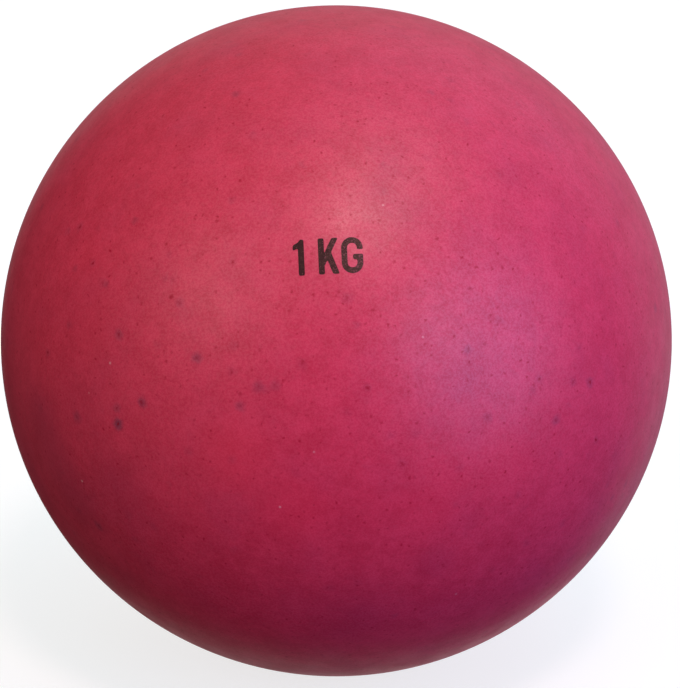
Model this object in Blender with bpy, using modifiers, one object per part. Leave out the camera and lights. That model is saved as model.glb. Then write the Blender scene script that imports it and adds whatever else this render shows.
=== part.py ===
"""Practice shot put ball of 1 kg: a seamless soft vinyl shell, packed with sand and closed by a barbed plug.

The ball's centre is at the origin, +Z is up and the printed side faces -Y. The filling hole is opposite the
print, so the filling axis leaves the ball at the back and below. Shell, plug and sand are turned about it.
"""

import math

import bpy

# The ball
OUTER_DIAMETER = 0.108
WALL = 0.004
FILLING_AXIS_TILT = 135.0  # degrees from +Z towards +Y

# The boss that the vinyl forms round the filling hole, inside the shell
HOLE_DIAMETER = 0.012
BOSS_WALL = 0.006
BOSS_HEIGHT = 0.009  # from the cavity's wall in to the boss's face, along the axis
BOSS_FILLET = 0.0025
BOSS_EDGE_RADIUS = 0.0015
HOLE_CHAMFER = 0.0006

# The plug, whose head lies flush in a recess
HEAD_OVERHANG = 0.0022
HEAD_EDGE = 0.0016
BARB_OVERHANG = 0.0008
BARB_LAND = 0.0010
BARB_LENGTH = 0.0035
BARB_TIP_WALL = 0.0012
PLUG_CORE_DIAMETER = 0.006
PLUG_CROWN = 0.0030  # vinyl left over the core, under the head's top

# The sand
AIR_ABOVE_SAND = 0.006

# What touches is this far apart
FIT_GAP = 0.0003

# Facets
TURN_STEPS = 64
OUTER_ARC_STEPS = 32  # from pole to pole
INNER_ARC_STEPS = 16
ROUND_STEPS = 4
SHARP_ANGLE = 32.0
MERGE_DISTANCE = 0.00001

# Worked out from the sizes above, all in the plane of the filling axis: x from the axis, z along it
OUTER_RADIUS = OUTER_DIAMETER / 2
CAVITY_RADIUS = OUTER_RADIUS - WALL
HOLE_RADIUS = HOLE_DIAMETER / 2
BOSS_RADIUS = HOLE_RADIUS + BOSS_WALL
BOSS_FACE_Z = CAVITY_RADIUS - BOSS_HEIGHT
RECESS_RADIUS = HOLE_RADIUS + HEAD_OVERHANG
RECESS_RIM_Z = math.sqrt(OUTER_RADIUS**2 - RECESS_RADIUS**2)
RECESS_FLOOR_Z = RECESS_RIM_Z - HEAD_EDGE
FILLET_X = BOSS_RADIUS + BOSS_FILLET
FILLET_Z = math.sqrt((CAVITY_RADIUS - BOSS_FILLET) ** 2 - FILLET_X**2)
FILLET_END = math.degrees(math.atan2(FILLET_X, FILLET_Z))
BARB_RADIUS = HOLE_RADIUS + BARB_OVERHANG
BARB_TOP_Z = BOSS_FACE_Z - FIT_GAP
BARB_TIP_Z = BARB_TOP_Z - BARB_LENGTH

# Finishes, with linear colours, where the vinyl is satin-matt
SHELL_RED = (0.60, 0.024, 0.064, 1.0)
PLUG_RED = (0.52, 0.022, 0.066, 1.0)
SAND_TAN = (0.48, 0.36, 0.22, 1.0)
VINYL_ROUGHNESS = 0.5
SAND_ROUGHNESS = 0.95


def on_circle(radius, angle, center=(0.0, 0.0)):
    """The point (x, z) at this angle in degrees from +Z towards +X."""
    turn = math.radians(angle)
    return center[0] + radius * math.sin(turn), center[1] + radius * math.cos(turn)


def arc(radius, start, end, steps, center=(0.0, 0.0)):
    """Points from one angle to the other in equal steps, both ends among them."""
    return [on_circle(radius, start + (end - start) * i / steps, center) for i in range(steps + 1)]


def meridian(radius, start, steps):
    """A sphere's outline from this angle to the far pole, with a point on each latitude that it passes."""
    latitudes = [180 * i / steps for i in range(steps)]
    angles = [start, *(angle for angle in latitudes if angle > start)]
    return [*(on_circle(radius, angle) for angle in angles), (0.0, -radius)]


def cavity_outline(offset):
    """The shell's inner side from the boss's face round to the far pole, moved this far into the cavity."""
    edge_center = (BOSS_RADIUS - BOSS_EDGE_RADIUS, BOSS_FACE_Z + BOSS_EDGE_RADIUS)
    boss_edge = arc(BOSS_EDGE_RADIUS + offset, 180, 90, ROUND_STEPS, edge_center)
    boss_root = arc(BOSS_FILLET - offset, -90, FILLET_END, ROUND_STEPS, (FILLET_X, FILLET_Z))
    wall = meridian(CAVITY_RADIUS - offset, FILLET_END, INNER_ARC_STEPS)
    return [*boss_edge, *boss_root, *wall[1:]]


def shell_outline():
    """The wall's section, from the cavity's far pole, up through the filling hole, to the ball's far pole."""
    hole = [
        (HOLE_RADIUS + HOLE_CHAMFER, BOSS_FACE_Z),
        (HOLE_RADIUS, BOSS_FACE_Z + HOLE_CHAMFER),
        (HOLE_RADIUS, RECESS_FLOOR_Z),
        (RECESS_RADIUS, RECESS_FLOOR_Z),
    ]
    rim_angle = math.degrees(math.asin(RECESS_RADIUS / OUTER_RADIUS))
    outside = meridian(OUTER_RADIUS, rim_angle, OUTER_ARC_STEPS)
    return [*reversed(cavity_outline(0)), *hole, *outside]


def plug_outline():
    """The plug's section, from the middle of its head down its outside and up into its core."""
    head_radius = RECESS_RADIUS - FIT_GAP
    shank_radius = HOLE_RADIUS - FIT_GAP
    core_radius = PLUG_CORE_DIAMETER / 2
    head_angle = math.degrees(math.asin(head_radius / OUTER_RADIUS))
    head = arc(OUTER_RADIUS, 0, head_angle, ROUND_STEPS)
    shank = [
        (head_radius, RECESS_FLOOR_Z + FIT_GAP),
        (shank_radius, RECESS_FLOOR_Z + FIT_GAP),
        (shank_radius, BARB_TOP_Z),
    ]
    barb = [
        (BARB_RADIUS, BARB_TOP_Z),
        (BARB_RADIUS, BARB_TOP_Z - BARB_LAND),
        (core_radius + BARB_TIP_WALL, BARB_TIP_Z),
    ]
    core_top = OUTER_RADIUS - PLUG_CROWN - core_radius
    core = [(core_radius, BARB_TIP_Z), *arc(core_radius, 90, 0, ROUND_STEPS, (0.0, core_top))]
    return [*head, *shank, *barb, *core]


def sand_outline():
    """The sand's section before its top is levelled: the cavity less the boss, the plug's tip and the gap."""
    pocket = [
        (0.0, BARB_TIP_Z - FIT_GAP),
        (BARB_RADIUS + FIT_GAP, BARB_TIP_Z - FIT_GAP),
        (BARB_RADIUS + FIT_GAP, BOSS_FACE_Z - FIT_GAP),
    ]
    return [*pocket, *cavity_outline(FIT_GAP)]


def clear_scene():
    for obj in list(bpy.data.objects):
        bpy.data.objects.remove(obj, do_unlink=True)


def new_collection(name):
    made = bpy.data.collections.new(name)
    bpy.context.scene.collection.children.link(made)
    return made


def principled(name, color, roughness):
    material = bpy.data.materials.new(name)
    material.use_nodes = True
    shader = material.node_tree.nodes["Principled BSDF"]
    shader.inputs["Base Color"].default_value = color
    shader.inputs["Roughness"].default_value = roughness
    shader.inputs["Metallic"].default_value = 0.0
    material.diffuse_color = color
    return material


def filling_axis(collection):
    """The empty whose +Z is the axis of the filling hole."""
    empty = bpy.data.objects.new("filling_axis", None)
    empty.empty_display_size = OUTER_RADIUS
    empty.rotation_euler = (math.radians(-FILLING_AXIS_TILT), 0.0, 0.0)
    collection.objects.link(empty)
    return empty


def turned(name, outline, collection, axis, material):
    """An object whose outline is turned about the axis's +Z by a Screw modifier."""
    mesh = bpy.data.meshes.new(name)
    edges = [(i, i + 1) for i in range(len(outline) - 1)]
    mesh.from_pydata([(x, 0.0, z) for x, z in outline], edges, [])
    mesh.materials.append(material)
    obj = bpy.data.objects.new(name, mesh)
    obj.parent = axis
    collection.objects.link(obj)
    screw = obj.modifiers.new("turn", "SCREW")
    screw.steps = TURN_STEPS
    screw.render_steps = TURN_STEPS
    screw.use_merge_vertices = True
    screw.merge_threshold = MERGE_DISTANCE
    return obj


def level_top(obj, cutters):
    """Cut the object off level at the sand's surface, whichever way the filling axis points."""
    surface_z = CAVITY_RADIUS - AIR_ABOVE_SAND
    bpy.ops.mesh.primitive_cube_add(size=OUTER_DIAMETER, location=(0, 0, surface_z + OUTER_RADIUS))
    cutter = bpy.context.object
    cutter.name = "air_above_sand"
    cutter.display_type = "WIRE"
    cutter.hide_render = True
    for collection in list(cutter.users_collection):
        collection.objects.unlink(cutter)
    cutters.objects.link(cutter)
    level = obj.modifiers.new("level", "BOOLEAN")
    level.operation = "DIFFERENCE"
    level.solver = "EXACT"
    level.object = cutter


def finish(obj):
    """Keep the object's final mesh, shaded smooth up to its sharp edges."""
    graph = bpy.context.evaluated_depsgraph_get()
    mesh = bpy.data.meshes.new_from_object(obj.evaluated_get(graph))
    obj.modifiers.clear()
    obj.data = mesh
    mesh.name = obj.name
    mesh.shade_smooth()
    mesh.set_sharp_from_angle(angle=math.radians(SHARP_ANGLE))


def main():
    clear_scene()
    ball = new_collection("shot_put_ball")
    cutters = new_collection("cutters")
    axis = filling_axis(ball)

    shell_vinyl = principled("shell_vinyl", SHELL_RED, VINYL_ROUGHNESS)
    plug_vinyl = principled("plug_vinyl", PLUG_RED, VINYL_ROUGHNESS)
    dry_sand = principled("dry_sand", SAND_TAN, SAND_ROUGHNESS)

    shell = turned("shell", shell_outline(), ball, axis, shell_vinyl)
    plug = turned("filling_plug", plug_outline(), ball, axis, plug_vinyl)
    sand = turned("sand_ballast", sand_outline(), ball, axis, dry_sand)
    level_top(sand, cutters)
    for piece in (shell, plug, sand):
        finish(piece)


main()
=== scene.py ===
"""Looks of the practice shot put ball: satin vinyl shell, stopper, printed weight, sand and a pale stage."""

import math

import bmesh
import bpy
from mathutils import Matrix, Vector


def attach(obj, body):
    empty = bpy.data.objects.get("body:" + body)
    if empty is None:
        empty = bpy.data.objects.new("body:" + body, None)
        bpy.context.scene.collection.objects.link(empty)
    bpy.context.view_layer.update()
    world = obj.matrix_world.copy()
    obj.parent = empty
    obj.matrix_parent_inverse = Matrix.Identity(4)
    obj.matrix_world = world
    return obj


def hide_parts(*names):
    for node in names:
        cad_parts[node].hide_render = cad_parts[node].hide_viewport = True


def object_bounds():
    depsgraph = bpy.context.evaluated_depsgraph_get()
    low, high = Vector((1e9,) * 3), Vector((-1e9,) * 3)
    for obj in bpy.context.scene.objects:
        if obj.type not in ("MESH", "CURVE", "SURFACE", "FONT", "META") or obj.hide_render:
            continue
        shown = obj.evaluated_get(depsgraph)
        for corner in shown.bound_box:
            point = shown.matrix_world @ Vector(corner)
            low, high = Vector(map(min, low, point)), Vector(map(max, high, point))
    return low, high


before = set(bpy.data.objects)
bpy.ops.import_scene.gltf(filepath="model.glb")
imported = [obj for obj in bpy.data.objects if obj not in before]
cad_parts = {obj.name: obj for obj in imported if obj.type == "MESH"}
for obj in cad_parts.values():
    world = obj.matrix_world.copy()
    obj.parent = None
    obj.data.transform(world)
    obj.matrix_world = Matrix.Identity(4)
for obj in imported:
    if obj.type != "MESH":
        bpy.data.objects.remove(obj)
CAD_LOW, CAD_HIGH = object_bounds()

# The shell, whose outside follows the frame
WALL = 0.004
OUTER_RADIUS = (CAD_HIGH.x - CAD_LOW.x) / 2
CAVITY_RADIUS = OUTER_RADIUS - WALL
FILLING_AXIS_TILT = 135.0  # degrees from +Z towards +Y

# The boss round the filling hole, with heights along the filling axis
HOLE_RADIUS = 0.006
HOLE_CHAMFER = 0.0006
BOSS_RADIUS = 0.012
BOSS_HEIGHT = 0.009
BOSS_FACE = CAVITY_RADIUS - BOSS_HEIGHT
BOSS_EDGE = 0.0015
BOSS_FILLET = 0.0025
RECESS_RADIUS = 0.0082
RECESS_DEPTH = 0.0016
RECESS_LIP = 0.0003
RECESS_FLOOR = math.sqrt(OUTER_RADIUS**2 - RECESS_RADIUS**2) - RECESS_DEPTH

# The stopper
FIT_GAP = 0.0003
HEAD_RADIUS = RECESS_RADIUS - FIT_GAP
HEAD_LIP = 0.0004
SHANK_RADIUS = HOLE_RADIUS - FIT_GAP
BARB_RADIUS = 0.0068
BARB_TOP = BOSS_FACE - FIT_GAP
BARB_LAND = 0.0010
BARB_LENGTH = 0.0035
CORE_RADIUS = 0.0030
CORE_COVER = 0.0030  # vinyl between the core's round end and the head's top
CORE_TOP = OUTER_RADIUS - CORE_COVER - CORE_RADIUS  # centre of the core's round end
CORE_LAST_RING = 5  # degrees from the axis, and merged into one point
BARB_TIP_WALL = 0.0012
BARB_TIP_RADIUS = CORE_RADIUS + BARB_TIP_WALL
GROOVE_RADIUS = 0.0052
GROOVE_WIDTH = 0.0007
GROOVE_BED_WIDTH = GROOVE_WIDTH / 3
GROOVE_DEPTH = 0.00015
GATE_RADIUS = 0.0012
GATE_DEPTH = 0.00025

# The printed weight
MARK_COLUMN = 328.0  # its middle in the picture, in pixels
MARK_ROW = 256.0
MARK_TILT = 2.9  # degrees, the right end up
MARK_CAP_HEIGHT = 0.0055
MARK_STROKE = 0.16  # as are the rounding, the lefts and the outlines, a share of the cap height
MARK_ROUNDING = 0.05
MARK_STRAIGHT = math.radians(150)  # corners wider than this aren't rounded
MARK_LEFTS = (0, 0.68, 1.30)  # where each figure starts
MARK_CELL = 0.00075  # in metres, as are the next two
INK_LIFT = 0.000004
INK_THICKNESS = 0.00003

# Facets
AROUND = 256
OUTER_RINGS = 128
INNER_RINGS = 48
PLUG_AROUND = 96
ROUND_STEPS = 5
CROWN_STEPS = 4
LETTER_STEPS = (14, 10)  # in a half round of a figure's outside and inside
SMOOTH_ANGLE = math.radians(35)
CUT_SNAP = 0.000001  # a point this near a cut lies on it, since the usual 0.1 mm would move the opening

# The picture and the camera
PICTURE_WIDTH = 680
PICTURE_HEIGHT = 688
BALL_COLUMN = 336.3
BALL_ROW = 340.8
BALL_OUTLINE = 335.6  # the outline's radius, in pixels
CAMERA_DISTANCE = 0.60
CAMERA_ELEVATION = 20.0
SENSOR_WIDTH = 36.0
CLIP_START = 0.01
FOCAL_PIXELS = BALL_OUTLINE / math.tan(math.asin(OUTER_RADIUS / CAMERA_DISTANCE))

# Colours, linear
WHITE = (1.0, 1.0, 1.0, 1.0)
VINYL_RED = (0.60, 0.024, 0.064, 1.0)
VINYL_LOW = (0.56, 0.019, 0.056, 1.0)  # the two ends of its mottling
VINYL_HIGH = (0.66, 0.031, 0.079, 1.0)
# The deep red is a darker tone of the vinyl, and in the patches also painted shade; the bright red is
# painted light
VINYL_DEEP_AND_PAINTED_SHADE = (0.40, 0.020, 0.062, 1.0)
VINYL_PAINTED_LIGHT = (0.74, 0.024, 0.068, 1.0)
VINYL_COOL = (0.50, 0.045, 0.120, 1.0)
VINYL_PORE = (0.35, 0.002, 0.015, 1.0)
VINYL_FLECK = (0.090, 0.022, 0.054, 1.0)
# pale colour of dust grains, also used for painted glints
VINYL_DUST_AND_GLINT = (0.80, 0.42, 0.42, 1.0)
PLUG_RED = (0.52, 0.022, 0.066, 1.0)
INK = (0.040, 0.010, 0.009, 1.0)
# the lighter ink colour stands for thin ink and, towards the right end, also a painted highlight
INK_THIN_AND_HIGHLIGHT = (0.085, 0.032, 0.022, 1.0)
INK_PINHOLE = (0.200, 0.055, 0.060, 1.0)
SAND_PALE = (0.60, 0.47, 0.30, 1.0)
SAND_DARK = (0.24, 0.16, 0.09, 1.0)

# Roughness: a material's plain value, and the range over which its noise carries it
VINYL_ROUGHNESS = 0.42
VINYL_ROUGHNESS_RANGE = (0.39, 0.45)
PLUG_ROUGHNESS = 0.38
PLUG_ROUGHNESS_RANGE = (0.34, 0.44)
INK_ROUGHNESS = 0.55
INK_ROUGHNESS_RANGE = (0.50, 0.62)
SAND_ROUGHNESS = 0.95
SAND_ROUGHNESS_RANGE = (0.8, 1.0)
PAPER_ROUGHNESS = 0.9

# The part of a noise, which runs from 0 to 1, that is graded: for most, and for the vinyl's grain
NOISE_RANGE = (0.3, 0.7)
GRAIN_RANGE = (0.35, 0.65)

# The shell's vinyl: widths, spacings, reaches and heights in metres, and shares from 0 to 1
MOTTLE_WIDTH = 0.0048
MOTTLE_FINENESS = 0.95
CLOUDS = (  # width, where in the noise they start and are full, share at the most, colour
    (0.012, 0.48, 0.75, 0.17, VINYL_DEEP_AND_PAINTED_SHADE),
    (0.009, 0.50, 0.75, 0.12, VINYL_COOL),
)
GRAIN_WIDTH = 0.00034
GRAIN_SHADE = 0.09
GRAIN_SHINE = (0.36, 0.64)
GRAIN_HEIGHT = 0.00001
RAGGED_WIDTH = 0.0009
FLECK_SPACING = 0.0050
FLECK_REACH = 0.0012
FLECK_PORE_REACH = 0.0005
FLECK_EVENNESS = 0.7
CROWD_WIDTH = 0.022
CROWD_RANGE = (0.45, 0.65)
CROWD_STRENGTH = (0.15, 0.45)
PORE_SPACING = 0.0011
PORE_REACH = 0.00034
PORE_EVENNESS = 0.5
PORE_STRENGTH = 0.80
DUST_SPACING = 0.0080
DUST_REACH = 0.00020
DUST_EVENNESS = 1.0
DUST_STRENGTH = 0.4
HANDLING_WIDTH = 0.004

# Single flecks in the vinyl: column, row, strength of the dark pore, strength and reach of the bluish halo
SINGLE_PORE_REACH = 0.00046
FLECKS = (
    (197, 358, 0.50, 0.55, 0.0013),
    (142, 402, 0.70, 0.60, 0.0013),
    (118, 424, 0.85, 0.85, 0.0015),
    (117, 408, 0.35, 0.35, 0.0012),
    (77, 417, 0.35, 0.40, 0.0015),
    (48, 353, 0.95, 0.25, 0.0011),
    (93, 263, 1.00, 0.25, 0.0010),
    (171, 297, 0.60, 0.05, 0.0008),
    (180, 302, 0.30, 0.25, 0.0012),
    (216, 348, 0.50, 0.05, 0.0010),
    (233, 262, 0.60, 0.10, 0.0010),
    (258, 387, 0.30, 0.35, 0.0015),
    (275, 386, 0.35, 0.25, 0.0014),
    (240, 406, 0.45, 0.40, 0.0013),
    (302, 362, 0.55, 0.10, 0.0010),
    (347, 298, 0.35, 0.20, 0.0015),
    (367, 387, 0.75, 0.20, 0.0011),
    (470, 289, 0.60, 0.10, 0.0010),
    (485, 344, 0.45, 0.05, 0.0010),
    (488, 417, 0.30, 0.20, 0.0014),
    (539, 379, 0.95, 0.20, 0.0012),
    (573, 382, 0.65, 0.25, 0.0012),
    (590, 383, 0.75, 0.40, 0.0014),
    (556, 420, 0.35, 0.40, 0.0013),
    (596, 440, 0.95, 0.20, 0.0010),
    (99, 526, 0.55, 0.40, 0.0014),
    (119, 334, 0.60, 0.40, 0.0014),
    (80, 227, 0.90, 0.25, 0.0012),
    (102, 283, 0.45, 0.15, 0.0013),
    (232, 371, 0.50, 0.15, 0.0012),
    (240, 394, 0.50, 0.05, 0.0010),
    (260, 349, 0.45, 0.05, 0.0010),
    (173, 280, 0.35, 0.10, 0.0012),
    (339, 292, 0.50, 0.05, 0.0010),
    (402, 464, 0.60, 0.10, 0.0012),
    (437, 239, 0.50, 0.05, 0.0010),
    (502, 267, 0.55, 0.05, 0.0010),
    (579, 348, 0.35, 0.15, 0.0012),
)
# Soft patches in the vinyl: the deep ones partly a darker tone of the vinyl and partly painted shade, the
# bright ones painted light. Column, row, reach in metres, strength, colour
TONE_AND_PAINTED_LIGHT_PATCHES = (
    (115, 484, 0.0095, 0.40, VINYL_DEEP_AND_PAINTED_SHADE),
    (470, 375, 0.0080, 0.30, VINYL_DEEP_AND_PAINTED_SHADE),
    (436, 562, 0.0055, 0.35, VINYL_DEEP_AND_PAINTED_SHADE),
    (160, 520, 0.0065, 0.15, VINYL_DEEP_AND_PAINTED_SHADE),
    (84, 300, 0.0080, 0.15, VINYL_DEEP_AND_PAINTED_SHADE),
    (78, 405, 0.0110, 0.25, VINYL_DEEP_AND_PAINTED_SHADE),
    (355, 612, 0.0130, 0.30, VINYL_DEEP_AND_PAINTED_SHADE),
    (392, 205, 0.0080, 0.12, VINYL_DEEP_AND_PAINTED_SHADE),
    (40, 415, 0.0080, 0.35, VINYL_DEEP_AND_PAINTED_SHADE),
    (55, 455, 0.0085, 0.40, VINYL_DEEP_AND_PAINTED_SHADE),
    (78, 500, 0.0085, 0.40, VINYL_DEEP_AND_PAINTED_SHADE),
    (236, 455, 0.0085, 0.45, VINYL_PAINTED_LIGHT),
    (298, 510, 0.0085, 0.35, VINYL_PAINTED_LIGHT),
    (440, 500, 0.0090, 0.35, VINYL_PAINTED_LIGHT),
    (512, 455, 0.0090, 0.30, VINYL_PAINTED_LIGHT),
    (84, 258, 0.0060, 0.25, VINYL_PAINTED_LIGHT),
    (90, 310, 0.0060, 0.20, VINYL_PAINTED_LIGHT),
)
# Single pale specks on the vinyl, grains of dust and, in the highlights, painted glints: column, row, reach
# in metres, strength
DUST_AND_PAINTED_GLINTS = (
    (82, 481, 0.00032, 0.65),
    (110, 363, 0.00032, 0.60),
    (89, 393, 0.00030, 0.25),
    (280, 507, 0.00030, 0.50),
    (314, 452, 0.00028, 0.35),
    (383, 205, 0.00030, 0.35),
    (423, 337, 0.00030, 0.35),
    (456, 594, 0.00030, 0.35),
)

# The stopper's vinyl, in the same measures
PLUG_GRAIN_WIDTH = 0.0004
PLUG_GRAIN_SHADE = 0.5
PLUG_SHEEN_WIDTH = 0.002
PLUG_RELIEF_WIDTH = 0.00035
PLUG_RELIEF_HEIGHT = 0.00002

# The ink, lighter towards the mark's right end, partly as thinner ink and partly as a painted highlight
INK_SHINE = 0.1  # specular level
MARK_REACH = 0.007  # from its middle to either end
INK_THINNING_AND_HIGHLIGHT = (-0.15, 0.30)  # at its left and right ends
INK_WEAR_WIDTH = 0.0007
INK_WEAR_FINENESS = 0.9
INK_WEAR_RANGE = (0.30, 0.90)
PINHOLE_WIDTH = 0.00022
PINHOLE_LOSS = 0.4
PINHOLE_RANGE = (0.56, 0.80)
INK_SHEEN_WIDTH = 0.0003
INK_RELIEF_WIDTH = 0.00025
INK_RELIEF_HEIGHT = 0.00002

# The sand
SAND_GRAIN = 0.0006
SAND_GRAIN_HEIGHT = 0.0003

# Sockets of the Mix node for colours
MIX_SHARE = 0
MIX_FIRST = 6
MIX_SECOND = 7
MIX_RESULT = 2

# Lamps: name, azimuth, elevation and half spread in degrees, brightness on white paper that faces it
LAMPS = (
    ("key", 13, 59, 5, (0.36, 0.25, 0.24)),
    ("sky", 63, 72, 17, (0.07, 0.12, 0.11)),
    ("window", 51, 12, 27, (0.28, 0.38, 0.80)),
    ("pane", 33, 22, 8, (0.05, 0.06, 0.06)),
    ("panel", -46, 30, 17, (0.16, 0.14, 0.13)),
    ("wall", -49, 6, 40, (0.07, 0.07, 0.06)),
    ("far_window", 124, 51, 38, (0.07, 0.07, 0.17)),
    ("far_wall", 160, 3, 45, (0.20, 0.17, 0.17)),
    ("far_ground", 180, -45, 18, (0.05, 0.03, 0.03)),
)
# The room's own dim light by side, each falling off with this power of the cosine
SIDE_FALLOFF = 2.0
SIDES = (
    ((1, 0, 0), (0.18, 0.12, 0.36)),
    ((-1, 0, 0), (0.07, 0.09, 0.09)),
    ((0, -1, 0), (0.16, 0.08, 0.12)),
    ((0, 1, 0), (0.01, 0.01, 0.01)),
    ((0, 0, 1), (0.38, 0.59, 0.47)),
    ((0, 0, -1), (0.01, 0.01, 0.01)),
)

# The stage, which only the camera sees
FLOOR_SIZE = 8.0
FLOOR_WHITE = (0.30, 0.30, 0.30, 1.0)
FLOOR_GLOW = 0.75
BACKDROP_RADIUS = 3.9
BACKDROP_AROUND = 64
BACKDROP_RINGS = 32


def start_fresh():
    """Leave edit mode and select nothing, since an operator acts on all that is selected."""
    if bpy.context.object and bpy.context.object.mode != "OBJECT":
        bpy.ops.object.mode_set(mode="OBJECT")
    bpy.ops.object.select_all(action="DESELECT")


def arc(center, radius, start, end, steps=ROUND_STEPS):
    """Rings (radius, height) along a round edge, with angles in degrees from +Z towards the outside."""
    angles = [math.radians(start + (end - start) * i / steps) for i in range(steps + 1)]
    return [(center[0] + radius * math.sin(a), center[1] + radius * math.cos(a)) for a in angles]


def crown(radius):
    """The ring of this radius on the ball's outside, near the filling hole."""
    return radius, math.sqrt(OUTER_RADIUS**2 - radius**2)


def crown_between(start, end):
    """Rings on the ball's outside between two radii, without those two."""
    return [crown(start + (end - start) * i / CROWN_STEPS) for i in range(1, CROWN_STEPS)]


def tangent_center(ball_radius, ring_radius, reach):
    """Middle of a round edge that touches a ball from inside, and the angle at which it does."""
    height = math.sqrt((ball_radius - reach) ** 2 - ring_radius**2)
    return (ring_radius, height), math.degrees(math.atan2(ring_radius, height))


def extrude_rings(first, rings):
    """Carry the selected open edge, which is the first ring, on through the others."""
    radius, height = first
    for next_radius, next_height in rings:
        bpy.ops.mesh.extrude_edges_move(TRANSFORM_OT_translate={"value": (0, 0, next_height - height)})
        size = next_radius / radius
        bpy.ops.transform.resize(value=(size, size, 1), center_override=(0, 0, next_height))
        radius, height = next_radius, next_height


def open_ball(radius, rings, cut_height):
    """A ball with its top cut off at this height, left in edit mode with the cut edge selected.

    The cut lies on facets, so its edge is carried out to the true ball.
    """
    start_fresh()
    bpy.ops.mesh.primitive_uv_sphere_add(segments=AROUND, ring_count=rings, radius=radius)
    ball = bpy.context.object
    bpy.ops.object.mode_set(mode="EDIT")
    bpy.ops.mesh.select_all(action="SELECT")
    bpy.ops.mesh.bisect(
        plane_co=(0, 0, cut_height), plane_no=(0, 0, 1), clear_outer=True, threshold=CUT_SNAP
    )
    cut_edge = [corner.co.x for corner in bmesh.from_edit_mesh(ball.data).verts if corner.select]
    size = math.sqrt(radius**2 - cut_height**2) / max(cut_edge)
    bpy.ops.transform.resize(value=(size, size, 1), center_override=(0, 0, cut_height))
    return ball


def turn_to_filling_axis(piece):
    """Lean a piece that was modelled upright over to the filling axis, and keep the turn in its mesh."""
    start_fresh()
    piece.select_set(True)
    bpy.context.view_layer.objects.active = piece
    piece.rotation_euler = (math.radians(-FILLING_AXIS_TILT), 0, 0)
    bpy.ops.object.transform_apply(location=True, rotation=True, scale=True)
    bpy.ops.object.shade_smooth_by_angle(angle=SMOOTH_ANGLE)


def shell_skin():
    """The cast shell: recess, filling hole and boss drawn on from the outer ball, and the cavity's wall."""
    lip_center, lip_start = tangent_center(OUTER_RADIUS, RECESS_RADIUS + RECESS_LIP, RECESS_LIP)
    lip = arc(lip_center, RECESS_LIP, lip_start, -90)
    boss_edge = arc((BOSS_RADIUS - BOSS_EDGE, BOSS_FACE + BOSS_EDGE), BOSS_EDGE, 180, 90)
    root_center, root_end = tangent_center(CAVITY_RADIUS, BOSS_RADIUS + BOSS_FILLET, BOSS_FILLET)
    boss_root = arc(root_center, BOSS_FILLET, -90, root_end)
    hole = [
        (RECESS_RADIUS, RECESS_FLOOR),
        (HOLE_RADIUS, RECESS_FLOOR),
        (HOLE_RADIUS, BOSS_FACE + HOLE_CHAMFER),
        (HOLE_RADIUS + HOLE_CHAMFER, BOSS_FACE),
    ]
    shell = open_ball(OUTER_RADIUS, OUTER_RINGS, lip[0][1])
    extrude_rings(lip[0], [*lip[1:], *hole, *boss_edge, *boss_root])
    cavity_cut = CAVITY_RADIUS * math.cos(math.radians(root_end + 180 / INNER_RINGS / 2))
    cavity = open_ball(CAVITY_RADIUS, INNER_RINGS, cavity_cut)
    start_fresh()
    cavity.select_set(True)
    shell.select_set(True)
    bpy.context.view_layer.objects.active = shell
    bpy.ops.object.join()
    bpy.ops.object.mode_set(mode="EDIT")
    bpy.ops.mesh.select_mode(type="EDGE")
    bpy.ops.mesh.select_all(action="DESELECT")
    bpy.ops.mesh.select_non_manifold()
    bpy.ops.mesh.bridge_edge_loops()
    bpy.ops.mesh.select_all(action="SELECT")
    bpy.ops.mesh.normals_make_consistent(inside=False)
    shell.name = "shell_skin"
    turn_to_filling_axis(shell)
    return shell


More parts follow.
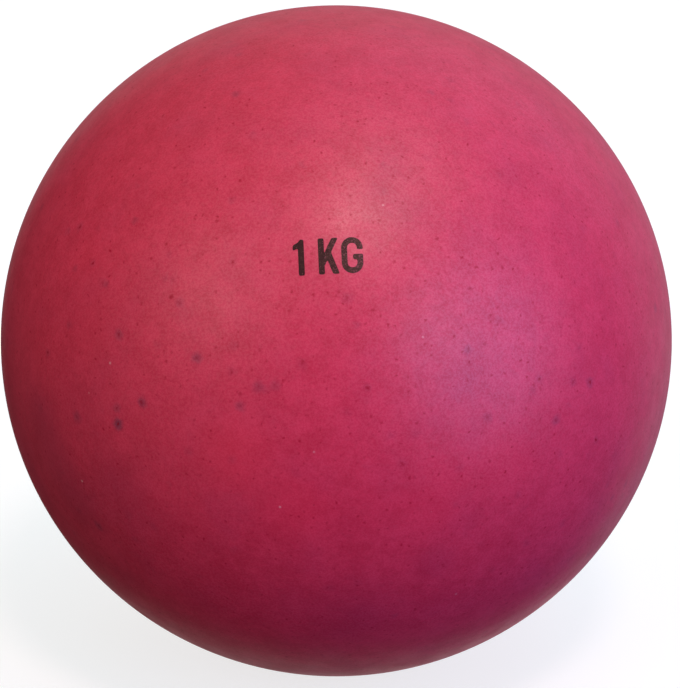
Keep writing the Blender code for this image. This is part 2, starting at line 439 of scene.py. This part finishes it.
def stopper():
    """The filling plug: crowned head with its gate mark and a ring groove, shank, barb and hollow core."""
    gate_bed = (GATE_RADIUS, crown(GATE_RADIUS)[1] - GATE_DEPTH)
    gate_rim = crown(GATE_RADIUS + GATE_DEPTH)
    groove_start = crown(GROOVE_RADIUS - GROOVE_WIDTH / 2)
    groove_end = crown(GROOVE_RADIUS + GROOVE_WIDTH / 2)
    bed_height = crown(GROOVE_RADIUS)[1] - GROOVE_DEPTH
    groove_bed = [
        (GROOVE_RADIUS - GROOVE_BED_WIDTH / 2, bed_height),
        (GROOVE_RADIUS + GROOVE_BED_WIDTH / 2, bed_height),
    ]
    inner_crown = crown_between(GATE_RADIUS, GROOVE_RADIUS)
    outer_crown = crown_between(GROOVE_RADIUS, HEAD_RADIUS)
    lip_center, lip_start = tangent_center(OUTER_RADIUS, HEAD_RADIUS - HEAD_LIP, HEAD_LIP)
    head = [gate_rim, *inner_crown, groove_start, *groove_bed, groove_end, *outer_crown]
    head_lip = arc(lip_center, HEAD_LIP, lip_start, 90)
    shank = [
        (HEAD_RADIUS, RECESS_FLOOR + FIT_GAP),
        (SHANK_RADIUS, RECESS_FLOOR + FIT_GAP),
        (SHANK_RADIUS, BARB_TOP),
    ]
    barb = [
        (BARB_RADIUS, BARB_TOP),
        (BARB_RADIUS, BARB_TOP - BARB_LAND),
        (BARB_TIP_RADIUS, BARB_TOP - BARB_LENGTH),
        (CORE_RADIUS, BARB_TOP - BARB_LENGTH),
    ]
    core_end = arc((0, CORE_TOP), CORE_RADIUS, 90, CORE_LAST_RING)

    start_fresh()
    bpy.ops.mesh.primitive_circle_add(
        vertices=PLUG_AROUND, radius=gate_bed[0], fill_type="TRIFAN", location=(0, 0, gate_bed[1])
    )
    plug = bpy.context.object
    bpy.ops.object.transform_apply(location=True, rotation=False, scale=False)
    bpy.ops.object.mode_set(mode="EDIT")
    bpy.ops.mesh.select_mode(type="EDGE")
    bpy.ops.mesh.select_all(action="DESELECT")
    bpy.ops.mesh.select_non_manifold()
    extrude_rings(gate_bed, [*head, *head_lip, *shank, *barb, *core_end])
    bpy.ops.mesh.merge(type="COLLAPSE")
    bpy.ops.mesh.select_all(action="SELECT")
    bpy.ops.mesh.normals_make_consistent(inside=False)
    plug.name = "filling_stopper"
    turn_to_filling_axis(plug)
    return plug


def camera_axes():
    """The camera's place, and its right, up and forward directions."""
    lean = math.radians(CAMERA_ELEVATION)
    back = Vector((0, -math.cos(lean), math.sin(lean)))
    right = Vector((1, 0, 0))
    up = Vector((0, math.sin(lean), math.cos(lean)))
    return back * CAMERA_DISTANCE, right, up, -back


def ball_point(column, row):
    """The point of the ball's outside that the picture shows at this pixel."""
    place, right, up, forward = camera_axes()
    across = (column - BALL_COLUMN) / FOCAL_PIXELS
    above = (BALL_ROW - row) / FOCAL_PIXELS
    ray = (forward + right * across + up * above).normalized()
    near = -place.dot(ray)
    return place + ray * (near - math.sqrt(near**2 - CAMERA_DISTANCE**2 + OUTER_RADIUS**2))


def slice_mesh(flat, cell):
    """Cut a flat mesh along its X and Y into cells this wide, so that it can follow a round surface."""
    bpy.ops.object.mode_set(mode="EDIT")
    for axis in (0, 1):
        places = [corner[axis] for corner in flat.bound_box]
        low, high = min(places), max(places)
        way = [0, 0, 0]
        way[axis] = 1
        for i in range(1, math.ceil((high - low) / cell)):
            bpy.ops.mesh.select_all(action="SELECT")
            spot = [0, 0, 0]
            spot[axis] = low + i * cell
            bpy.ops.mesh.bisect(plane_co=spot, plane_no=way)
    bpy.ops.object.mode_set(mode="OBJECT")


def block_one():
    """The figure 1: a bar with a short slanted flag."""
    stem = 0.14
    bar = [(stem, 0), (stem + MARK_STROKE, 0), (stem + MARK_STROKE, 1), (stem + 0.05, 1)]
    flag = [(stem + 0.02, 0.93), (0, 0.85), (0, 0.70), (stem, 0.76)]
    return [*bar, *flag]


def block_k():
    """The letter K: a bar, an arm that meets it low down and a leg that leaves the arm."""
    arm_slope = 2.0
    arm_top = 0.545
    arm_width = 0.175
    stem_side = [(0, 0), (MARK_STROKE, 0), (MARK_STROKE, 1 - (arm_top - MARK_STROKE) * arm_slope)]
    leg = [(0.240, 1 - (arm_top - 0.240) * arm_slope), (0.380, 0), (0.560, 0)]
    arm = [(0.345, 1 - (arm_top - 0.345) * arm_slope), (arm_top, 1), (arm_top - arm_width, 1)]
    crotch = (MARK_STROKE, 1 - (arm_top - arm_width - MARK_STROKE) * arm_slope)
    return [*stem_side, *leg, *arm, crotch, (MARK_STROKE, 1), (0, 1)]


def block_g():
    """The letter G: a tall ring with half-round ends, open at the right, and a short bar."""
    half = 0.29
    bore = half - MARK_STROKE
    top, bottom = (half, 1 - half), (half, half)
    wide, tight = LETTER_STEPS
    outside = [*arc(top, half, 90, -90, wide), *arc(bottom, half, -90, -270, wide)]
    bar = [(2 * half, 0.53), (half + 0.02, 0.53), (half + 0.02, 0.38), (half + bore, 0.38)]
    inside = [*arc(bottom, bore, -270, -90, tight), *arc(top, bore, -90, 90, tight)]
    return [(2 * half, 0.66), *outside, *bar, *inside, (half + bore, 0.66)]


def rounded(outline):
    """An outline with its sharp corners drawn as short curves, since ink flows a little under the pad."""
    made = []
    for before, corner, after in zip([outline[-1], *outline], outline, [*outline[1:], outline[0]]):
        corner = Vector(corner)
        back, on = Vector(before) - corner, Vector(after) - corner
        if back.angle(on) > MARK_STRAIGHT:
            made.append(tuple(corner))
            continue
        start = corner + back * min(MARK_ROUNDING / back.length, 0.5)
        end = corner + on * min(MARK_ROUNDING / on.length, 0.5)
        for share in (0, 1 / 3, 2 / 3, 1):
            made.append(tuple(start.lerp(corner, share).lerp(corner.lerp(end, share), share)))
    return made


def printed_weight(shell):
    """The weight in plain block figures, a film of ink laid on the shell."""
    start_fresh()
    lettering = bpy.data.curves.new("weight_mark", "CURVE")
    lettering.dimensions = "2D"
    lettering.fill_mode = "BOTH"
    for figure, left in zip((block_one(), block_k(), block_g()), MARK_LEFTS):
        corners = rounded(figure)
        outline = lettering.splines.new("POLY")
        outline.points.add(len(corners) - 1)
        for point, (x, y) in zip(outline.points, corners):
            point.co = ((left + x) * MARK_CAP_HEIGHT, y * MARK_CAP_HEIGHT, 0, 1)
        outline.use_cyclic_u = True
    mark = bpy.data.objects.new("weight_mark", lettering)
    bpy.context.scene.collection.objects.link(mark)
    mark.select_set(True)
    bpy.context.view_layer.objects.active = mark
    bpy.ops.object.convert(target="MESH")
    bpy.ops.object.origin_set(type="ORIGIN_GEOMETRY", center="BOUNDS")
    mark.location = (0, 0, 0)
    slice_mesh(mark, MARK_CELL)

    outward = ball_point(MARK_COLUMN, MARK_ROW).normalized()
    up = camera_axes()[2]
    up = (up - outward * up.dot(outward)).normalized()
    across = up.cross(outward)
    stand = Matrix((across, up, outward)).transposed().to_4x4()
    spin = Matrix.Rotation(math.radians(MARK_TILT), 4, "Z")
    mark.matrix_world = Matrix.Translation(outward * (OUTER_RADIUS + FIT_GAP)) @ stand @ spin
    bpy.context.view_layer.update()

    wrap = mark.modifiers.new("lay_on_shell", "SHRINKWRAP")
    wrap.target = shell
    wrap.wrap_method = "PROJECT"
    wrap.use_project_z = True
    wrap.use_negative_direction = True
    wrap.use_positive_direction = True
    wrap.offset = INK_LIFT
    film = mark.modifiers.new("ink_film", "SOLIDIFY")
    film.thickness = INK_THICKNESS
    film.offset = 1.0
    for modifier in ("lay_on_shell", "ink_film"):
        bpy.ops.object.modifier_apply(modifier=modifier)
    bpy.ops.object.transform_apply(location=True, rotation=True, scale=True)
    bpy.ops.object.shade_smooth_by_angle(angle=SMOOTH_ANGLE)
    return mark


def new_surface(name, color, roughness):
    """A material with a plain Principled surface, and the piece's own Object coordinates."""
    material = bpy.data.materials.new(name)
    material.use_nodes = True
    tree = material.node_tree
    shader = tree.nodes["Principled BSDF"]
    shader.inputs["Base Color"].default_value = color
    shader.inputs["Roughness"].default_value = roughness
    place = tree.nodes.new("ShaderNodeTexCoord").outputs["Object"]
    return material, tree, shader, place


def noise(tree, place, grain, detail=2.0, fineness=0.5):
    """Even noise about 0.5, with features this many metres wide and finer ones, each a share as strong."""
    made = tree.nodes.new("ShaderNodeTexNoise")
    made.inputs["Scale"].default_value = 1 / grain
    made.inputs["Detail"].default_value = detail
    made.inputs["Roughness"].default_value = fineness
    tree.links.new(place, made.inputs["Vector"])
    return made.outputs["Fac"]


def graded(tree, value, low, high, to_low=0.0, to_high=1.0):
    """The value carried smoothly from one range to another."""
    made = tree.nodes.new("ShaderNodeMapRange")
    made.interpolation_type = "SMOOTHSTEP"
    tree.links.new(value, made.inputs["Value"])
    for name, number in (("From Min", low), ("From Max", high), ("To Min", to_low), ("To Max", to_high)):
        made.inputs[name].default_value = number
    return made.outputs["Result"]


def worked(tree, operation, first, second):
    """Two values, or a value and a number, put together."""
    made = tree.nodes.new("ShaderNodeMath")
    made.operation = operation
    for socket, value in zip(made.inputs, (first, second)):
        if isinstance(value, float):
            socket.default_value = value
        else:
            tree.links.new(value, socket)
    return made.outputs[0]


def mixed(tree, share, first, second):
    """Two colours mixed by a share from 0 to 1, where the first may be a colour or a socket."""
    made = tree.nodes.new("ShaderNodeMix")
    made.data_type = "RGBA"
    tree.links.new(share, made.inputs[MIX_SHARE])
    if isinstance(first, tuple):
        made.inputs[MIX_FIRST].default_value = first
    else:
        tree.links.new(first, made.inputs[MIX_FIRST])
    made.inputs[MIX_SECOND].default_value = second
    return made.outputs[MIX_RESULT]


def wobbled(tree, place, grain, amount):
    """The place moved about by up to half this many metres, which makes round marks ragged."""
    made = tree.nodes.new("ShaderNodeTexNoise")
    made.inputs["Scale"].default_value = 1 / grain
    tree.links.new(place, made.inputs["Vector"])
    centered = tree.nodes.new("ShaderNodeVectorMath")
    centered.operation = "SUBTRACT"
    tree.links.new(made.outputs["Color"], centered.inputs[0])
    centered.inputs[1].default_value = (0.5, 0.5, 0.5)
    moved = tree.nodes.new("ShaderNodeVectorMath")
    moved.operation = "MULTIPLY_ADD"
    tree.links.new(centered.outputs[0], moved.inputs[0])
    moved.inputs[1].default_value = (amount, amount, amount)
    tree.links.new(place, moved.inputs[2])
    return moved.outputs[0]


def faded(tree, distance, reach, strength):
    """A share that falls from this strength at no distance to nothing at the reach."""
    return worked(tree, "MULTIPLY", graded(tree, distance, reach, 0.0), strength)


def dots(tree, place, spacing, reach, evenness, strength):
    """A mask of soft round dots of up to this strength, about this far apart in the body of the material."""
    made = tree.nodes.new("ShaderNodeTexVoronoi")
    made.inputs["Scale"].default_value = 1 / spacing
    tree.links.new(place, made.inputs["Vector"])
    parts = tree.nodes.new("ShaderNodeSeparateColor")
    tree.links.new(made.outputs["Color"], parts.inputs["Color"])
    own = worked(tree, "POWER", parts.outputs["Red"], 1 / evenness)
    return worked(tree, "MULTIPLY", faded(tree, made.outputs["Distance"], reach / spacing, strength), own)


def spot(tree, place, point, reach, strength):
    """A mask of one soft round spot about a point."""
    made = tree.nodes.new("ShaderNodeVectorMath")
    made.operation = "DISTANCE"
    tree.links.new(place, made.inputs[0])
    made.inputs[1].default_value = point
    return faded(tree, made.outputs["Value"], reach, strength)


def roughened(tree, shader, value, between):
    """Let the roughness follow a noise between two values."""
    tree.links.new(graded(tree, value, *NOISE_RANGE, *between), shader.inputs["Roughness"])


def bumped(tree, shader, height, distance):
    """Raise the surface by a height from 0 to 1, times this distance in metres."""
    made = tree.nodes.new("ShaderNodeBump")
    made.inputs["Strength"].default_value = 1.0
    made.inputs["Distance"].default_value = distance
    tree.links.new(height, made.inputs["Height"])
    tree.links.new(made.outputs["Normal"], shader.inputs["Normal"])


def vinyl_color(tree, place):
    """The vinyl's red, mottled and faintly clouded, with soft patches on the ball that are partly darker
    tone and partly painted shade and painted light.
    """
    mottle = noise(tree, place, MOTTLE_WIDTH, detail=3.0, fineness=MOTTLE_FINENESS)
    color = mixed(tree, graded(tree, mottle, *NOISE_RANGE), VINYL_LOW, VINYL_HIGH)
    for width, start, full, most, tone in CLOUDS:
        share = graded(tree, noise(tree, place, width, detail=3.0), start, full, 0.0, most)
        color = mixed(tree, share, color, tone)
    # patches of darker tone, painted shade and painted light
    for column, row, reach, strength, tone in TONE_AND_PAINTED_LIGHT_PATCHES:
        color = mixed(tree, spot(tree, place, ball_point(column, row), reach, strength), color, tone)
    return color


def shell_vinyl():
    """Cast soft vinyl: satin with a fine grain, dark pores, bluish flecks, a little pale dust and a few
    painted glints.
    """
    material, tree, shader, place = new_surface("shell_vinyl", VINYL_RED, VINYL_ROUGHNESS)
    grain = noise(tree, place, GRAIN_WIDTH, detail=1.0, fineness=1.0)
    shade = graded(tree, grain, *GRAIN_RANGE, GRAIN_SHADE, 0.0)
    color = mixed(tree, shade, vinyl_color(tree, place), VINYL_PORE)

    ragged = wobbled(tree, place, RAGGED_WIDTH, RAGGED_WIDTH)
    crowd = graded(tree, noise(tree, place, CROWD_WIDTH, detail=1.0), *CROWD_RANGE, *CROWD_STRENGTH)
    flecks = dots(tree, ragged, FLECK_SPACING, FLECK_REACH, FLECK_EVENNESS, crowd)
    fleck_pores = dots(tree, ragged, FLECK_SPACING, FLECK_PORE_REACH, FLECK_EVENNESS, crowd)
    pores = dots(tree, ragged, PORE_SPACING, PORE_REACH, PORE_EVENNESS, PORE_STRENGTH)
    pores = worked(tree, "MAXIMUM", pores, fleck_pores)
    color = mixed(tree, flecks, color, VINYL_FLECK)
    for column, row, pore, halo, reach in FLECKS:
        point = ball_point(column, row)
        color = mixed(tree, spot(tree, ragged, point, reach, halo), color, VINYL_FLECK)
        pores = worked(tree, "MAXIMUM", pores, spot(tree, ragged, point, SINGLE_PORE_REACH, pore))
    color = mixed(tree, pores, color, VINYL_PORE)

    dust = dots(tree, place, DUST_SPACING, DUST_REACH, DUST_EVENNESS, DUST_STRENGTH)
    color = mixed(tree, dust, color, VINYL_DUST_AND_GLINT)
    # pale dust grains, and in the highlights painted glints
    for column, row, reach, strength in DUST_AND_PAINTED_GLINTS:
        color = mixed(tree, spot(tree, place, ball_point(column, row), reach, strength), color, VINYL_DUST_AND_GLINT)
    tree.links.new(color, shader.inputs["Base Color"])

    roughened(tree, shader, noise(tree, place, HANDLING_WIDTH, detail=3.0), VINYL_ROUGHNESS_RANGE)
    shine = graded(tree, grain, *GRAIN_RANGE, *GRAIN_SHINE)
    shine = worked(tree, "MULTIPLY", shine, worked(tree, "SUBTRACT", 1.0, pores))
    tree.links.new(shine, shader.inputs["Specular IOR Level"])
    bumped(tree, shader, grain, GRAIN_HEIGHT)
    return material


def plug_vinyl():
    """Moulded vinyl of the stopper, a shade deeper than the shell."""
    material, tree, shader, place = new_surface("plug_vinyl", PLUG_RED, PLUG_ROUGHNESS)
    grain = noise(tree, place, PLUG_GRAIN_WIDTH, detail=3.0)
    shade = graded(tree, grain, *NOISE_RANGE, 0.0, PLUG_GRAIN_SHADE)
    tree.links.new(mixed(tree, shade, PLUG_RED, VINYL_DEEP_AND_PAINTED_SHADE), shader.inputs["Base Color"])
    roughened(tree, shader, noise(tree, place, PLUG_SHEEN_WIDTH), PLUG_ROUGHNESS_RANGE)
    bumped(tree, shader, noise(tree, place, PLUG_RELIEF_WIDTH), PLUG_RELIEF_HEIGHT)
    return material


def mark_ink():
    """Matt pad-printing ink, thinner in places, lighter to the right as thinner ink and a painted highlight,
    with pinholes where the vinyl shows.
    """
    material, tree, shader, place = new_surface("mark_ink", INK, INK_ROUGHNESS)
    shader.inputs["Specular IOR Level"].default_value = INK_SHINE
    parts = tree.nodes.new("ShaderNodeSeparateXYZ")
    tree.links.new(place, parts.inputs[0])
    # lighter towards the right end: thinner ink and a painted highlight
    thinning_and_highlight = graded(tree, parts.outputs["X"], -MARK_REACH, MARK_REACH, *INK_THINNING_AND_HIGHLIGHT)
    wear = worked(tree, "ADD", noise(tree, place, INK_WEAR_WIDTH, fineness=INK_WEAR_FINENESS), thinning_and_highlight)
    color = mixed(tree, graded(tree, wear, *INK_WEAR_RANGE), INK, INK_THIN_AND_HIGHLIGHT)
    holes = noise(tree, place, PINHOLE_WIDTH, detail=1.0)
    holes = worked(tree, "ADD", holes, worked(tree, "MULTIPLY", thinning_and_highlight, PINHOLE_LOSS))
    color = mixed(tree, graded(tree, holes, *PINHOLE_RANGE), color, INK_PINHOLE)
    tree.links.new(color, shader.inputs["Base Color"])
    roughened(tree, shader, noise(tree, place, INK_SHEEN_WIDTH), INK_ROUGHNESS_RANGE)
    bumped(tree, shader, noise(tree, place, INK_RELIEF_WIDTH), INK_RELIEF_HEIGHT)
    return material


def dry_sand():
    """Packed dry sand, grain by grain."""
    material, tree, shader, place = new_surface("dry_sand", SAND_PALE, SAND_ROUGHNESS)
    grains = tree.nodes.new("ShaderNodeTexVoronoi")
    grains.inputs["Scale"].default_value = 1 / SAND_GRAIN
    tree.links.new(place, grains.inputs["Vector"])
    parts = tree.nodes.new("ShaderNodeSeparateColor")
    tree.links.new(grains.outputs["Color"], parts.inputs["Color"])
    color = mixed(tree, parts.outputs["Red"], SAND_DARK, SAND_PALE)
    tree.links.new(color, shader.inputs["Base Color"])
    roughness = graded(tree, parts.outputs["Green"], 0.0, 1.0, *SAND_ROUGHNESS_RANGE)
    tree.links.new(roughness, shader.inputs["Roughness"])
    bumped(tree, shader, worked(tree, "SUBTRACT", 1.0, grains.outputs["Distance"]), SAND_GRAIN_HEIGHT)
    return material


def give(piece, material):
    """Make this the piece's one material."""
    piece.data.materials.clear()
    piece.data.materials.append(material)


def camera():
    """The camera that frames the ball as the picture does."""
    place = camera_axes()[0]
    bpy.ops.object.camera_add(location=place, rotation=(math.radians(90 - CAMERA_ELEVATION), 0, 0))
    made = bpy.context.object
    long_side = max(PICTURE_WIDTH, PICTURE_HEIGHT)
    made.data.sensor_width = SENSOR_WIDTH
    made.data.lens = FOCAL_PIXELS * SENSOR_WIDTH / long_side
    made.data.shift_x = (PICTURE_WIDTH / 2 - BALL_COLUMN) / long_side
    made.data.shift_y = (BALL_ROW - PICTURE_HEIGHT / 2) / long_side
    made.data.clip_start = CLIP_START
    bpy.context.scene.camera = made


def sun(name, azimuth, elevation, spread, light):
    """A soft lamp far off, azimuth from the camera's side towards +X, giving white paper this brightness."""
    start_fresh()
    bpy.ops.object.light_add(
        type="SUN", rotation=(math.radians(90 - elevation), 0, math.radians(azimuth))
    )
    lamp = bpy.context.object
    lamp.name = name
    lamp.data.angle = math.radians(2 * spread)
    lamp.data.color = [part / max(light) for part in light]
    lamp.data.energy = math.pi * max(light)


def room_light():
    """Dim light from all round, a different tone from each side."""
    world = bpy.data.worlds.new("room")
    bpy.context.scene.world = world
    world.use_nodes = True
    tree = world.node_tree
    way = tree.nodes.new("ShaderNodeTexCoord").outputs["Generated"]
    total = None
    for side, light in SIDES:
        facing = tree.nodes.new("ShaderNodeVectorMath")
        facing.operation = "DOT_PRODUCT"
        tree.links.new(way, facing.inputs[0])
        facing.inputs[1].default_value = side
        share = worked(tree, "MAXIMUM", facing.outputs["Value"], 0.0)
        share = worked(tree, "POWER", share, SIDE_FALLOFF)
        scaled = tree.nodes.new("ShaderNodeVectorMath")
        scaled.operation = "SCALE"
        scaled.inputs[0].default_value = light
        tree.links.new(share, scaled.inputs["Scale"])
        if total is None:
            total = scaled.outputs[0]
            continue
        added = tree.nodes.new("ShaderNodeVectorMath")
        tree.links.new(total, added.inputs[0])
        tree.links.new(scaled.outputs[0], added.inputs[1])
        total = added.outputs[0]
    tree.links.new(total, tree.nodes["Background"].inputs["Color"])


def stage_piece(name, material):
    """Keep a stage piece for the camera alone, so that it doesn't light the ball or shade it."""
    piece = bpy.context.object
    piece.name = name
    give(piece, material)
    for ray in ("visible_diffuse", "visible_glossy", "visible_transmission", "visible_shadow"):
        setattr(piece, ray, False)


def stage():
    """A white floor that keeps the ball's shadow, and a white backdrop all round."""
    paper, _, shader, _ = new_surface("white_paper", FLOOR_WHITE, PAPER_ROUGHNESS)
    shader.inputs["Emission Color"].default_value = WHITE
    shader.inputs["Emission Strength"].default_value = FLOOR_GLOW
    start_fresh()
    bpy.ops.mesh.primitive_plane_add(size=FLOOR_SIZE, location=(0, 0, CAD_LOW.z))
    stage_piece("floor", paper)

    sheet = bpy.data.materials.new("white_sheet")
    sheet.use_nodes = True
    tree = sheet.node_tree
    glow = tree.nodes.new("ShaderNodeEmission")
    tree.links.new(glow.outputs[0], tree.nodes["Material Output"].inputs["Surface"])
    start_fresh()
    bpy.ops.mesh.primitive_uv_sphere_add(
        segments=BACKDROP_AROUND, ring_count=BACKDROP_RINGS, radius=BACKDROP_RADIUS
    )
    stage_piece("backdrop", sheet)


shell = shell_skin()
plug = stopper()
mark = printed_weight(shell)
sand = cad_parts["sand_ballast"]
for piece, material, slot in (
    (shell, shell_vinyl(), "shell_vinyl"),
    (plug, plug_vinyl(), "plug_vinyl"),
    (mark, mark_ink(), "mark_ink"),
):
    give(piece, material)
    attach(piece, "root")
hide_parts("shell")
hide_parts("filling_plug")
sand.material_slots[0].material = dry_sand()

camera()
for lamp in LAMPS:
    sun(*lamp)
room_light()
stage()
bpy.context.scene.view_settings.view_transform = "Standard"
